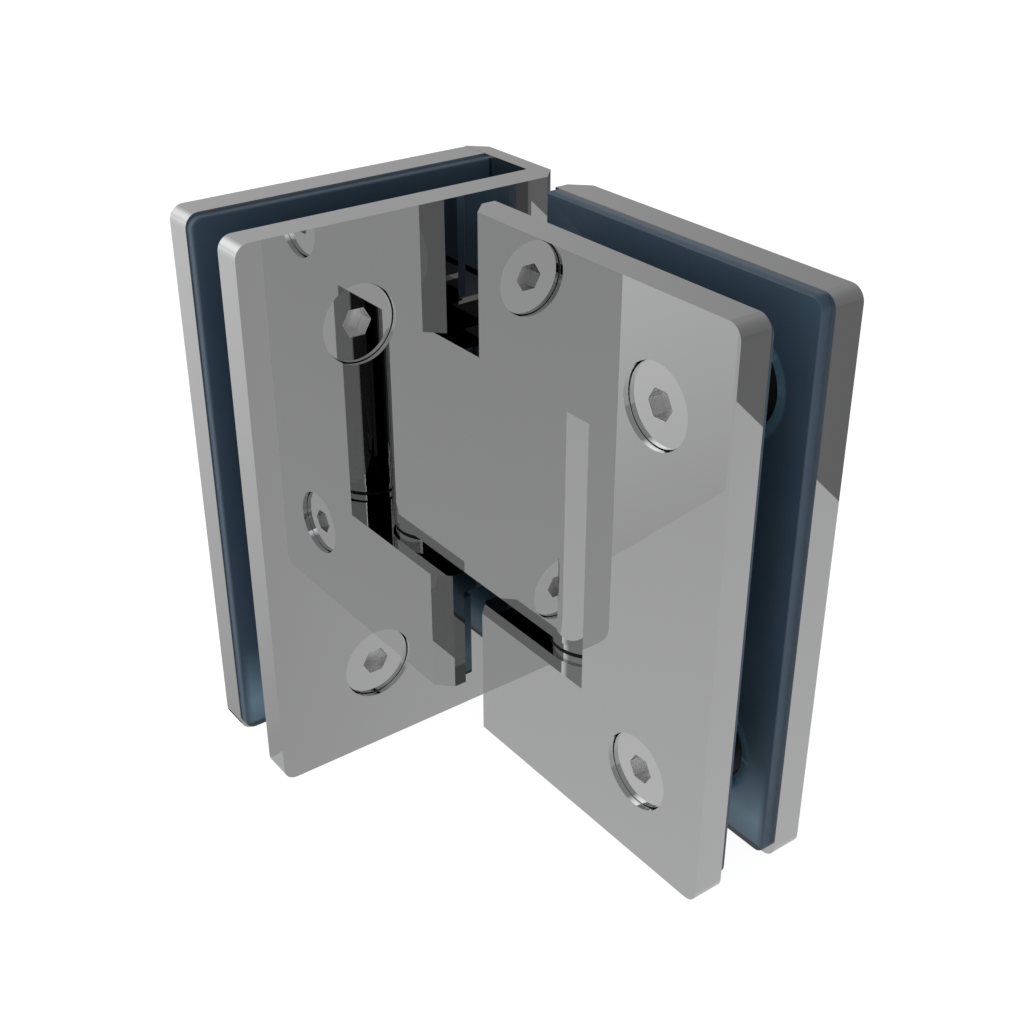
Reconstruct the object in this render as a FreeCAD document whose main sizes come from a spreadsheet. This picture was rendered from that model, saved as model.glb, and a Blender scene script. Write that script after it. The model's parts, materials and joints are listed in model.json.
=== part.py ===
# Glass door hinge for two glass panes at a right angle, in millimetres
# Each leaf clamps a pane between two plates. The fixed leaf carries the knuckle. The door
# leaf holds the pin in a housing between its plates and swings round the knuckle.
# Lengths run from the pin's axis: X along the door leaf, Y along the fixed leaf and Z up
# from the leaves' lower edges. At the end every piece moves so that the origin lies under
# the middle of the whole hinge.
import FreeCAD, Part
import os
import re
import Sketcher

SIZES = (
    ("leaf_height", 90.0, "height of both leaves"),
    ("leaf_width", 55.0, "width of each leaf"),
    ("plate_thickness", 5.0, "thickness of every plate"),
    ("plate_gap", 11.0, "between the inner faces of a leaf's two plates"),
    ("corner_radius", 2.2, "round corners at a plate's free end"),
    ("bevel_size", 2.7, "flat bevels at the pivot end"),
    ("web_thickness", 2.8, "web that closes the fixed leaf's end"),
    ("web_proud", 0.3, "step from the back plate to the web"),
    ("seam_gap", 0.05, "between the back plate and the web"),
    ("back_setback", 0.6, "from the front plate's free end back to the fixed back plate's"),
    ("swing_gap", 4.8, "from the fixed leaf's face to the door plates"),
    ("pin_setback", 22.6, "from the fixed leaf's face to the pin's axis"),
    ("notch_height", 44.1, "notch in the door plates"),
    ("notch_length", 28.2, "notch, from the plates' pivot end"),
    ("knuckle_radius", 7.0, "half of the knuckle's thickness"),
    ("knuckle_play", 1.7, "between the knuckle and each end of the notch"),
    ("shoulder_radius", 6.6, "round shoulder, a little smaller than the knuckle"),
    ("shoulder_height", 1.35, "round shoulder at each end of the knuckle"),
    ("washer_thickness", 0.3, "thrust washer under each shoulder"),
    ("pin_radius", 4.0, "pivot pin"),
    ("pin_chamfer", 0.5, "ends of the pin"),
    ("flat_offset", 3.5, "from the pin's axis to its detent flats"),
    ("flat_height", 6.0, "detent flats along the pin"),
    ("bush_wall", 1.0, "wall of the knuckle's bushes"),
    ("bush_length", 8.0, "length of the knuckle's bushes"),
    ("running_clearance", 0.05, "round what turns or slides"),
    ("fit_clearance", 0.02, "round what stays put"),
    ("arm_height", 4.8, "housing above and below the notch"),
    ("spine_thickness", 3.0, "housing behind the notch"),
    ("plunger_radius", 2.5, "detent plungers"),
    ("plunger_length", 9.5, "detent plungers"),
    ("plunger_spacing", 14.0, "between the two plungers"),
    ("spigot_radius", 1.2, "tail of a plunger inside its spring"),
    ("spigot_length", 2.0, "tail of a plunger inside its spring"),
    ("plug_length", 5.0, "plug behind each spring"),
    ("plug_recess", 0.4, "from the front plate's inner face to the plugs"),
    ("spring_radius", 1.9, "to the middle of the spring's wire"),
    ("spring_wire", 0.3, "half of the spring's square wire"),
    ("spring_pitch", 2.0, "one turn of the spring"),
    ("front_gasket", 1.5, "thickness of the gaskets behind the front plates"),
    ("back_gasket", 2.4, "thickness of the gaskets on the back plates"),
    ("glass_bevel", 0.4, "bevelled outer edge of the gaskets at the glass"),
    ("gasket_inset", 0.4, "from a plate's upper edge down to its gasket"),
    ("gasket_foot", 1.6, "from a plate's lower edge up to its gasket"),
    ("fixed_gasket_end", 0.2, "from the fixed plates' free end to their gaskets"),
    ("door_gasket_end", 0.8, "from the door plates' free end to their gaskets"),
    ("gasket_ease", 0.5, "between the door gaskets and the housing"),
    ("gasket_hole", 7.3, "radius of the gaskets' holes"),
    ("gasket_rim", 0.6, "chamfer of the gaskets' holes at the glass"),
    ("gasket_bridge", 2.0, "left of a door gasket between its holes and the cut-out"),
    ("screw_spacing", 59.0, "between a leaf's two clamp screws"),
    ("fixed_screw_inset", 18.5, "from the fixed leaf's free end to its screws"),
    ("head_radius", 6.0, "clamp screw head"),
    ("head_height", 2.5, "clamp screw head"),
    ("head_chamfer", 0.1, "broken edge of the head"),
    ("head_recess", 0.9, "from the plate's face to the head"),
    ("counterbore_ease", 0.1, "between head and counterbore"),
    ("hex_flats", 4.0, "socket across its flats"),
    ("hex_depth", 2.4, "depth of the socket"),
    ("shank_radius", 3.0, "clamp screw shank"),
    ("shank_grip", 4.1, "shank inside the back plate"),
    ("shank_chamfer", 0.6, "tip of the shank"),
    ("sleeve_wall", 1.9, "black sleeve round each clamp screw"),
    ("set_screw_radius", 1.5, "lock screws and housing screws"),
    ("lock_recess", 1.4, "from the spine's face to the lock screws"),
    ("set_screw_hex", 1.5, "their sockets across the flats"),
    ("set_screw_socket", 1.2, "depth of their sockets"),
    ("small_head_radius", 2.2, "housing screw head"),
    ("small_head_height", 1.5, "housing screw head"),
    ("small_grip", 3.8, "housing screw inside the front plate"),
    ("housing_screw_place", 7.0, "from the housing's end to its screws"),
    ("housing_chamfer", 0.6, "edges of the housing's end"),
)

# Places, measured from the pin's axis
HALF = "(plate_gap / 2 + plate_thickness)"
FACE = "(0 - pin_setback)"
FACE_INSIDE = f"({FACE} - plate_thickness)"
BACK_INSIDE = f"({FACE_INSIDE} - plate_gap)"
BACK_OUTSIDE = f"({BACK_INSIDE} - plate_thickness)"
CORNER_OUTSIDE = f"({BACK_OUTSIDE} - web_proud)"
FREE_END = f"({HALF} - leaf_width)"
WEB_INSIDE = f"({HALF} - web_thickness)"
DOOR_END = "(swing_gap - pin_setback)"
DOOR_FREE_END = f"({DOOR_END} + leaf_width)"
NOTCH_END = f"({DOOR_END} + notch_length)"
NOTCH_LOW = "(leaf_height / 2 - notch_height / 2)"
NOTCH_HIGH = "(leaf_height / 2 + notch_height / 2)"
ARM_LOW = f"({NOTCH_LOW} - arm_height)"
ARM_HIGH = f"({NOTCH_HIGH} + arm_height)"
KNUCKLE_LOW = f"({NOTCH_LOW} + knuckle_play)"
KNUCKLE_HEIGHT = "(notch_height - 2 * knuckle_play)"
SHOULDER_LOW = f"({KNUCKLE_LOW} - shoulder_height)"
SHOULDER_HIGH = f"({NOTCH_HIGH} - knuckle_play + shoulder_height)"
BUSH_RADIUS = "(pin_radius + running_clearance + bush_wall)"
LOCK_START = "(pin_radius + fit_clearance)"
FIXED_SCREW_Y = f"({FREE_END} + fixed_screw_inset)"
SPINE_END = f"({NOTCH_END} + spine_thickness)"
CUT_OUT_END = f"({SPINE_END} + gasket_ease)"
DOOR_SCREW_X = f"({CUT_OUT_END} + gasket_bridge + gasket_hole)"
SCREW_LOW = "(leaf_height / 2 - screw_spacing / 2)"
SCREW_HIGH = "(leaf_height / 2 + screw_spacing / 2)"
LEVELS = (("upper", 1), ("lower", -1))

# The middle of the whole hinge, seen from above
MIDDLE_X = f"(({CORNER_OUTSIDE} + {DOOR_FREE_END}) / 2)"
MIDDLE_Y = f"(({FREE_END} + {HALF}) / 2)"

# New geometry starts away from both axes, before its constraints place it
START = FreeCAD.Vector(20, 5, 0)
NEXT_START = FreeCAD.Vector(3, 0, 0)

doc = FreeCAD.newDocument("glass_door_hinge")
pieces = []


def fill_sheet():
    sheet = doc.addObject("Spreadsheet::Sheet", "sizes")
    for row, (alias, value, note) in enumerate(SIZES, start=1):
        sheet.set(f"A{row}", note)
        sheet.set(f"B{row}", str(value))
        sheet.setAlias(f"B{row}", alias)
    doc.recompute()
    return sheet


sheet = fill_sheet()


def bound(text):
    """Every alias has an underscore, so each such word is read from the sheet."""
    return re.sub(r"\b[a-z]+(?:_[a-z]+)+\b", r"sizes.\g<0>", text)


def new_piece(name, base=("0", "0", "0"), turn=None):
    """A body whose own origin lies at base, measured from the pin's axis."""
    body = doc.addObject("PartDesign::Body", name)
    body.Label = name
    if turn is not None:
        body.Placement = FreeCAD.Placement(FreeCAD.Vector(0, 0, 0), turn)
    body.setExpression("Placement.Base.x", bound(f"{base[0]} - {MIDDLE_X}"))
    body.setExpression("Placement.Base.y", bound(f"{base[1]} - {MIDDLE_Y}"))
    body.setExpression("Placement.Base.z", bound(base[2]))
    pieces.append(body)
    return body


def new_sketch(body, name, plane, offset="0"):
    """A sketch on one of the body's own planes, moved along that plane's normal."""
    sketch = body.newObject("Sketcher::SketchObject", name)
    origin = [item for item in body.Origin.OriginFeatures if item.Role == plane]
    sketch.AttachmentSupport = (origin[0], [""])
    sketch.MapMode = "FlatFace"
    sketch.setExpression("AttachmentOffset.Base.z", bound(offset))
    return sketch


def place_point(sketch, geometry, point, x, y, start):
    """Holds a point at x and y from the origin. An exact "0" keeps it on that axis."""
    for text, kind, axis, value in ((x, "DistanceX", -2, start.x), (y, "DistanceY", -1, start.y)):
        if text == "0":
            sketch.addConstraint(Sketcher.Constraint("PointOnObject", geometry, point, axis))
        else:
            index = sketch.addConstraint(Sketcher.Constraint(kind, -1, 1, geometry, point, value))
            sketch.setExpression(f"Constraints[{index}]", bound(text))


def draw_outline(sketch, corners):
    """A closed outline of straight lines through the corners, given as pairs of sizes."""
    count = len(corners)
    turn = FreeCAD.Rotation(FreeCAD.Vector(0, 0, 1), 360 / count)
    starts = [START]
    while len(starts) < count:
        starts.append(turn.multVec(starts[-1]))
    first = sketch.GeometryCount
    for index in range(count):
        line = Part.LineSegment(starts[index], starts[(index + 1) % count])
        sketch.addGeometry(line, False)
    for index in range(count):
        following = first + (index + 1) % count
        sketch.addConstraint(Sketcher.Constraint("Coincident", first + index, 2, following, 1))
    for index, (x, y) in enumerate(corners):
        place_point(sketch, first + index, 1, x, y, starts[index])


def draw_circle(sketch, x, y, radius):
    start = START + NEXT_START * sketch.GeometryCount
    index = sketch.addGeometry(Part.Circle(start, FreeCAD.Vector(0, 0, 1), 1), False)
    place_point(sketch, index, 3, x, y, start)
    size = sketch.addConstraint(Sketcher.Constraint("Radius", index, 1))
    sketch.setExpression(f"Constraints[{size}]", bound(radius))


def box_corners(x_low, x_high, y_low, y_high):
    return [(x_low, y_low), (x_high, y_low), (x_high, y_high), (x_low, y_high)]


def hexagon_corners(flats):
    """A corner points along the sketch's first axis, on both sides."""
    tip = f"{flats} / sqrt(3)"
    side = f"{flats} / sqrt(3) / 2"
    flat = f"{flats} / 2"
    right = [(side, f"0 - {flat}"), (tip, "0"), (side, flat)]
    left = [(f"0 - {side}", flat), (f"0 - {tip}", "0"), (f"0 - {side}", f"0 - {flat}")]
    return right + left


def add_feature(body, kind, name, sketch, length, reverse=False, symmetric=False):
    """A pad or pocket of the sketch. What it adds or takes away is checked."""
    before = body.Shape.Volume if body.Tip else 0
    feature = body.newObject(f"PartDesign::{kind}", name)
    feature.Profile = sketch
    feature.setExpression("Length", bound(length))
    feature.Reversed = reverse
    if symmetric:
        feature.SideType = "Symmetric"
    doc.recompute()
    change = body.Shape.Volume - before
    if (change <= 0) if kind == "Pad" else (change >= 0):
        raise ValueError(f"{body.Label}: {name} changes nothing")
    return feature


def turn_profile(body, kind, name, corners, plane="XZ_Plane"):
    """Turns an outline once round the sketch's upright axis."""
    sketch = new_sketch(body, f"{name}_profile", plane)
    draw_outline(sketch, corners)
    feature = body.newObject(f"PartDesign::{kind}", name)
    feature.Profile = sketch
    feature.ReferenceAxis = (sketch, ["V_Axis"])
    feature.Angle = 360
    doc.recompute()
    return feature


def edges_along(shape, axis, where):
    """Names of the straight edges along an axis that pass the test on their middle."""
    names = []
    for number, edge in enumerate(shape.Edges, start=1):
        if len(edge.Vertexes) != 2:
            continue
        span = edge.Vertexes[1].Point - edge.Vertexes[0].Point
        if abs(abs(getattr(span, axis)) - edge.Length) < 1e-6 and where(edge.CenterOfMass):
            names.append(f"Edge{number}")
    return names


def add_finish(body, kind, name, base, parts, size, value):
    """A fillet or chamfer on the named edges or faces."""
    feature = body.newObject(f"PartDesign::{kind}", name)
    feature.Base = (base, parts)
    feature.setExpression(size, bound(value))
    doc.recompute()
    return feature


def near(first, second):
    return abs(first - second) < 1e-4


def round_free_end(body, base, axis, side, radius="corner_radius"):
    """Rounds the two corners of a free end. The edges run along the given axis."""
    box = base.Shape.BoundBox
    across = "y" if axis == "x" else "x"
    edge_place = getattr(box, across.upper() + side)

    def at_corner(point):
        level = near(point.z, box.ZMin) or near(point.z, box.ZMax)
        return level and near(getattr(point, across), edge_place)

    names = edges_along(base.Shape, axis, at_corner)
    return add_finish(body, "Fillet", "round_corners", base, names, "Radius", radius)


def screw_seats(body, plane, offset, place, reverse):
    """Two counterbores and clearance holes through a front plate, from its outer face."""
    wide = new_sketch(body, "counterbores", plane, offset)
    narrow = new_sketch(body, "screw_holes", plane, offset)
    for level in (SCREW_LOW, SCREW_HIGH):
        draw_circle(wide, place, level, "head_radius + counterbore_ease")
        draw_circle(narrow, place, level, "shank_radius + counterbore_ease")
    add_feature(body, "Pocket", "cut_counterbores", wide, "head_recess + head_height", reverse)
    return add_feature(body, "Pocket", "cut_screw_holes", narrow, "plate_thickness", reverse)


def screw_threads(body, plane, offset, place, reverse):
    """Two blind threaded holes in a back plate, from its inner face."""
    sketch = new_sketch(body, "threads", plane, offset)
    for level in (SCREW_LOW, SCREW_HIGH):
        draw_circle(sketch, place, level, "shank_radius + fit_clearance")
    return add_feature(body, "Pocket", "cut_threads", sketch, "shank_grip + fit_clearance", reverse)


# Fixed leaf
def fixed_leaf_front():
    """Front plate, web and knuckle in one casting."""
    body = new_piece("fixed_leaf_front")
    angle = new_sketch(body, "plate_and_web", "XY_Plane")
    draw_outline(angle, [
        (FACE, FREE_END),
        (FACE, f"{HALF} - bevel_size"),
        (f"{FACE} - bevel_size", HALF),
        (f"{CORNER_OUTSIDE} + bevel_size", HALF),
        (CORNER_OUTSIDE, f"{HALF} - bevel_size"),
        (CORNER_OUTSIDE, WEB_INSIDE),
        (FACE_INSIDE, WEB_INSIDE),
        (FACE_INSIDE, FREE_END),
    ])
    plate = add_feature(body, "Pad", "plate", angle, "leaf_height")
    round_free_end(body, plate, "x", "Min")
    screw_seats(body, "YZ_Plane", FACE, FIXED_SCREW_Y, False)
    arm = new_sketch(body, "knuckle_arm", "XY_Plane", KNUCKLE_LOW)
    draw_outline(arm, box_corners(f"{FACE} - plate_thickness / 2", "0",
                                  "0 - knuckle_radius", "knuckle_radius"))
    add_feature(body, "Pad", "arm", arm, KNUCKLE_HEIGHT)
    barrel = new_sketch(body, "knuckle_barrel", "XY_Plane", KNUCKLE_LOW)
    draw_circle(barrel, "0", "0", "knuckle_radius")
    add_feature(body, "Pad", "barrel", barrel, KNUCKLE_HEIGHT)
    shoulders = new_sketch(body, "knuckle_shoulders", "XY_Plane", SHOULDER_LOW)
    draw_circle(shoulders, "0", "0", "shoulder_radius")
    add_feature(body, "Pad", "shoulders", shoulders, f"{SHOULDER_HIGH} - {SHOULDER_LOW}")
    bore = "pin_radius + running_clearance + fit_clearance"
    seat = f"{BUSH_RADIUS} + fit_clearance"
    turn_profile(body, "Groove", "pin_bore", [
        ("0", SHOULDER_LOW),
        (seat, SHOULDER_LOW),
        (seat, f"{SHOULDER_LOW} + bush_length"),
        (bore, f"{SHOULDER_LOW} + bush_length"),
        (bore, f"{SHOULDER_HIGH} - bush_length"),
        (seat, f"{SHOULDER_HIGH} - bush_length"),
        (seat, SHOULDER_HIGH),
        ("0", SHOULDER_HIGH),
    ])
    channels = new_sketch(body, "plunger_channels", "YZ_Plane", FACE_INSIDE)
    for _, side in LEVELS:
        draw_circle(channels, "0", f"leaf_height / 2 + {side} * plunger_spacing / 2",
                    "plunger_radius + running_clearance")
    add_feature(body, "Pocket", "cut_channels", channels, f"0 - {FACE_INSIDE}", True)


def fixed_leaf_back():
    body = new_piece("fixed_leaf_back")
    outline = new_sketch(body, "outline", "XY_Plane")
    draw_outline(outline, box_corners(BACK_OUTSIDE, BACK_INSIDE, f"{FREE_END} + back_setback",
                                      f"{WEB_INSIDE} - seam_gap"))
    plate = add_feature(body, "Pad", "plate", outline, "leaf_height")
    round_free_end(body, plate, "x", "Min")
    screw_threads(body, "YZ_Plane", BACK_INSIDE, FIXED_SCREW_Y, False)


# Door leaf
def door_plate(name, side):
    """Side is -1 for the front plate and 1 for the back one."""
    body = new_piece(name)
    inside = f"{side} * plate_gap / 2"
    outside = f"{side} * {HALF}"
    outline = new_sketch(body, "outline", "XY_Plane")
    draw_outline(outline, [
        (DOOR_END, inside),
        (DOOR_FREE_END, inside),
        (DOOR_FREE_END, outside),
        (f"{DOOR_END} + bevel_size", outside),
        (DOOR_END, f"{side} * ({HALF} - bevel_size)"),
    ])
    plate = add_feature(body, "Pad", "plate", outline, "leaf_height")
    round_free_end(body, plate, "y", "Max")
    notch = new_sketch(body, "notch", "XZ_Plane")
    draw_outline(notch, box_corners(f"{DOOR_END} - swing_gap", NOTCH_END, NOTCH_LOW, NOTCH_HIGH))
    add_feature(body, "Pocket", "cut_notch", notch, f"3 * {HALF}", symmetric=True)
    return body


def door_plate_front():
    body = door_plate("door_plate_front", -1)
    screw_seats(body, "XZ_Plane", HALF, DOOR_SCREW_X, False)
    taps = new_sketch(body, "housing_taps", "XZ_Plane", "plate_gap / 2")
    for level in (f"{NOTCH_LOW} - arm_height / 2", f"{NOTCH_HIGH} + arm_height / 2"):
        draw_circle(taps, f"{DOOR_END} + housing_screw_place", level,
                    "set_screw_radius + fit_clearance")
    add_feature(body, "Pocket", "cut_taps", taps, "small_grip + fit_clearance", True)


def door_plate_back():
    body = door_plate("door_plate_back", 1)
    screw_threads(body, "XZ_Plane", "0 - plate_gap / 2", DOOR_SCREW_X, False)


def pivot_housing():
    """Two arms and a spine round the notch, as thick as the gap between the plates."""
    body = new_piece("pivot_housing")
    outline = new_sketch(body, "outline", "XZ_Plane")
    draw_outline(outline, [
        (DOOR_END, ARM_LOW),
        (SPINE_END, ARM_LOW),
        (SPINE_END, ARM_HIGH),
        (DOOR_END, ARM_HIGH),
        (DOOR_END, NOTCH_HIGH),
        (NOTCH_END, NOTCH_HIGH),
        (NOTCH_END, NOTCH_LOW),
        (DOOR_END, NOTCH_LOW),
    ])
    block = add_feature(body, "Pad", "block", outline, "plate_gap", symmetric=True)
    box = block.Shape.BoundBox
    ends = edges_along(block.Shape, "y", lambda point: near(point.x, box.XMin) and
                       (near(point.z, box.ZMin) or near(point.z, box.ZMax)))
    add_finish(body, "Chamfer", "end_edges", block, ends, "Size", "housing_chamfer")
    bores = new_sketch(body, "pin_bores", "XY_Plane", ARM_LOW)
    draw_circle(bores, "0", "0", "pin_radius + fit_clearance")
    add_feature(body, "Pocket", "cut_pin_bores", bores, f"{ARM_HIGH} - {ARM_LOW}", True)
    locks = new_sketch(body, "lock_holes", "YZ_Plane", SPINE_END)
    seats = new_sketch(body, "screw_seats", "XZ_Plane", "0 - plate_gap / 2")
    holes = new_sketch(body, "screw_holes", "XZ_Plane", "0 - plate_gap / 2")
    for level in (f"{NOTCH_LOW} - arm_height / 2", f"{NOTCH_HIGH} + arm_height / 2"):
        place = f"{DOOR_END} + housing_screw_place"
        draw_circle(locks, "0", level, "set_screw_radius + fit_clearance")
        draw_circle(seats, place, level, "small_head_radius - fit_clearance")
        draw_circle(holes, place, level, "set_screw_radius + fit_clearance")
    add_feature(body, "Pocket", "cut_lock_holes", locks, SPINE_END)
    add_feature(body, "Pocket", "cut_screw_seats", seats, "small_head_height", True)
    add_feature(body, "Pocket", "cut_screw_holes", holes, "plate_gap", True)


# Gaskets
def face_towards(shape, axis, toward):
    """The flat face that looks along the axis, or against it where toward is -1."""
    for face in shape.Faces:
        if isinstance(face.Surface, Part.Plane) and near(getattr(face.normalAt(0, 0), axis), toward):
            return face
    raise ValueError(f"no face looks along {axis}")


def names_of(shape, wires, leave_out):
    """Names of the wires' edges, without those that pass the test on their middle."""
    names = []
    for number, edge in enumerate(shape.Edges, start=1):
        if any(edge.isSame(other) for wire in wires for other in wire.Edges):
            if not leave_out(edge.CenterOfMass):
                names.append(f"Edge{number}")
    return names


def finish_gasket(body, pad, plane, offset, place, depth, toward, leave_out):
    """Cuts the screw holes and bevels the outer edges and the holes' rims at the glass."""
    axis = "x" if plane == "YZ_Plane" else "y"
    holes = new_sketch(body, "holes", plane, offset)
    for level in (SCREW_LOW, SCREW_HIGH):
        draw_circle(holes, place, level, "gasket_hole")
    last = add_feature(body, "Pocket", "cut_holes", holes, f"2 * {depth}", symmetric=True)
    face = face_towards(last.Shape, axis, toward)
    names = names_of(last.Shape, [face.OuterWire], leave_out)
    last = add_finish(body, "Chamfer", "glass_edges", last, names, "Size", "glass_bevel")
    face = face_towards(last.Shape, axis, toward)
    rims = [wire for wire in face.Wires if not wire.isSame(face.OuterWire)]
    names = names_of(last.Shape, rims, leave_out)
    add_finish(body, "Chamfer", "hole_rims", last, names, "Size", "gasket_rim")


def fixed_gasket(name, inside, side, depth, free_end):
    """Side is the way from the plate to the glass along X. Its end at the web stays sharp."""
    body = new_piece(name)
    outline = new_sketch(body, "outline", "YZ_Plane", inside)
    draw_outline(outline, box_corners(f"{free_end} + fixed_gasket_end", f"{WEB_INSIDE} - seam_gap",
                                      "gasket_foot", "leaf_height - gasket_inset"))
    pad = add_feature(body, "Pad", "sheet", outline, depth, side < 0)
    web_end = pad.Shape.BoundBox.YMax
    round_free_end(body, pad, "x", "Min", "corner_radius - gasket_inset")
    finish_gasket(body, pad, "YZ_Plane", inside, FIXED_SCREW_Y, depth, side,
                  lambda point: near(point.y, web_end))


def door_gasket(name, side, depth):
    """Side is -1 behind the front plate and 1 on the back plate."""
    body = new_piece(name)
    offset = f"0 - {side} * plate_gap / 2"
    outline = new_sketch(body, "outline", "XZ_Plane", offset)
    right = f"{DOOR_FREE_END} - door_gasket_end"
    draw_outline(outline, [
        (DOOR_END, "gasket_foot"),
        (right, "gasket_foot"),
        (right, "leaf_height - gasket_inset"),
        (DOOR_END, "leaf_height - gasket_inset"),
        (DOOR_END, f"{ARM_HIGH} + gasket_ease"),
        (CUT_OUT_END, f"{ARM_HIGH} + gasket_ease"),
        (CUT_OUT_END, f"{ARM_LOW} - gasket_ease"),
        (DOOR_END, f"{ARM_LOW} - gasket_ease"),
    ])
    pad = add_feature(body, "Pad", "sheet", outline, depth, side < 0)
    round_free_end(body, pad, "y", "Max", "corner_radius - gasket_inset")
    finish_gasket(body, pad, "XZ_Plane", offset, DOOR_SCREW_X, depth, 0 - side,
                  lambda point: False)


# Screws and sleeves
TOWARD_X = FreeCAD.Rotation(FreeCAD.Vector(1, 1, 1), 120)
TOWARD_FRONT = FreeCAD.Rotation(FreeCAD.Vector(1, 0, 0), 90)


def clamp_screw(name, base, turn):
    """Flat head with a crisp rim and a hexagon socket. Its face looks along +Z."""
    body = new_piece(name, base, turn)
    tip = "head_recess - plate_thickness - plate_gap - shank_grip"
    turn_profile(body, "Revolution", "screw", [
        ("0", "0"),
        ("head_radius - head_chamfer", "0"),
        ("head_radius", "0 - head_chamfer"),
        ("head_radius", "0 - head_height"),
        ("shank_radius", "0 - head_height"),
        ("shank_radius", f"{tip} + shank_chamfer"),
        ("shank_radius - shank_chamfer", tip),
        ("0", tip),
    ])
    socket = new_sketch(body, "socket", "XY_Plane")
    draw_outline(socket, hexagon_corners("hex_flats"))
    add_feature(body, "Pocket", "cut_socket", socket, "hex_depth")


def tube(name, base, turn, bore, wall, length):
    """A plain tube that rises from its base along its own Z."""
    body = new_piece(name, base, turn)
    turn_profile(body, "Revolution", "tube", box_corners(bore, f"{bore} + {wall}", "0", length))
    return body


def clamp_screws():
    for level, side in LEVELS:
        height = f"leaf_height / 2 + {side} * screw_spacing / 2"
        clamp_screw(f"fixed_screw_{level}", (f"{FACE} - head_recess", FIXED_SCREW_Y, height), TOWARD_X)
        clamp_screw(f"door_screw_{level}", (DOOR_SCREW_X, f"head_recess - {HALF}", height), TOWARD_FRONT)
        bore = "shank_radius + counterbore_ease"
        length = "plate_gap - 2 * fit_clearance"
        tube(f"fixed_sleeve_{level}", (f"{BACK_INSIDE} + fit_clearance", FIXED_SCREW_Y, height),
             TOWARD_X, bore, "sleeve_wall", length)
        tube(f"door_sleeve_{level}", (DOOR_SCREW_X, "plate_gap / 2 - fit_clearance", height),
             TOWARD_FRONT, bore, "sleeve_wall", length)


# Pin and bearings
def pivot_pin():
    """A round pin with four detent flats where each plunger presses."""
    body = new_piece("pivot_pin")
    low = f"{ARM_LOW} + pin_chamfer"
    high = f"{ARM_HIGH} - pin_chamfer"
    turn_profile(body, "Revolution", "pin", [
        ("0", ARM_LOW),
        ("pin_radius - pin_chamfer", ARM_LOW),
        ("pin_radius", low),
        ("pin_radius", high),
        ("pin_radius - pin_chamfer", ARM_HIGH),
        ("0", ARM_HIGH),
    ])
    for level, side in LEVELS:
        middle = f"(leaf_height / 2 + {side} * plunger_spacing / 2)"
        flats = new_sketch(body, f"flats_{level}", "XY_Plane", f"{middle} - flat_height / 2")
        draw_circle(flats, "0", "0", "2 * pin_radius")
        square = box_corners("0 - flat_offset", "flat_offset", "0 - flat_offset", "flat_offset")
        draw_outline(flats, square)
        add_feature(body, "Pocket", f"cut_flats_{level}", flats, "flat_height", True)


def bearings():
    bore = "pin_radius + running_clearance"
    tube("knuckle_bush_upper", ("0", "0", f"{SHOULDER_HIGH} - bush_length"), None,
         bore, "bush_wall", "bush_length")
    tube("knuckle_bush_lower", ("0", "0", SHOULDER_LOW), None, bore, "bush_wall", "bush_length")
    wall = "shoulder_radius - pin_radius - running_clearance"
    tube("thrust_washer_upper", ("0", "0", f"{NOTCH_HIGH} - washer_thickness"), None,
         bore, wall, "washer_thickness")
    tube("thrust_washer_lower", ("0", "0", NOTCH_LOW), None, bore, wall, "washer_thickness")


# Detent
def detent(level, side):
    """Plunger, spring and plug lie in line in one channel, from the pin outwards."""
    height = f"leaf_height / 2 + {side} * plunger_spacing / 2"
    rest_tip = "0 - pin_radius - running_clearance"
    toward_pin = TOWARD_X
    plunger = new_piece(f"detent_plunger_{level}", (rest_tip, "0", height), toward_pin)
    nose = "plunger_radius - pin_chamfer"
    turn_profile(plunger, "Revolution", "plunger", [
        ("0", "0"),
        (nose, "0"),
        ("plunger_radius", "0 - pin_chamfer"),
        ("plunger_radius", "0 - plunger_length"),
        ("spigot_radius", "0 - plunger_length"),
        ("spigot_radius", "0 - plunger_length - spigot_length"),
        ("0", "0 - plunger_length - spigot_length"),
    ])
    plug_top = f"({FACE_INSIDE} + plug_recess + plug_length)"
    plug = new_piece(f"detent_plug_{level}", (plug_top, "0", height), toward_pin)
    turn_profile(plug, "Revolution", "plug", [
        ("0", "0"),
        ("plunger_radius - pin_chamfer", "0"),
        ("plunger_radius + running_clearance - fit_clearance", "0 - pin_chamfer"),
        ("plunger_radius + running_clearance - fit_clearance", "0 - plug_length"),
        ("0", "0 - plug_length"),
    ])
    socket = new_sketch(plug, "socket", "XY_Plane", "0 - plug_length")
    draw_outline(socket, hexagon_corners("(plunger_radius)"))
    add_feature(plug, "Pocket", "cut_socket", socket, "hex_depth", True)
    room = f"({rest_tip} - plunger_length - {plug_top})"
    coil = new_piece(f"detent_spring_{level}", (plug_top, "0", height), toward_pin)
    wire = new_sketch(coil, "wire", "XZ_Plane")
    draw_outline(wire, box_corners("spring_radius - spring_wire", "spring_radius + spring_wire",
                                   "fit_clearance", "2 * spring_wire + fit_clearance"))
    winding = coil.newObject("PartDesign::AdditiveHelix", "winding")
    winding.Profile = wire
    winding.ReferenceAxis = (wire, ["V_Axis"])
    winding.Mode = "pitch-height-angle"
    winding.setExpression("Pitch", bound("spring_pitch"))
    winding.setExpression("Height", bound(f"{room} - 2 * spring_wire - 2 * fit_clearance"))
    doc.recompute()


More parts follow.
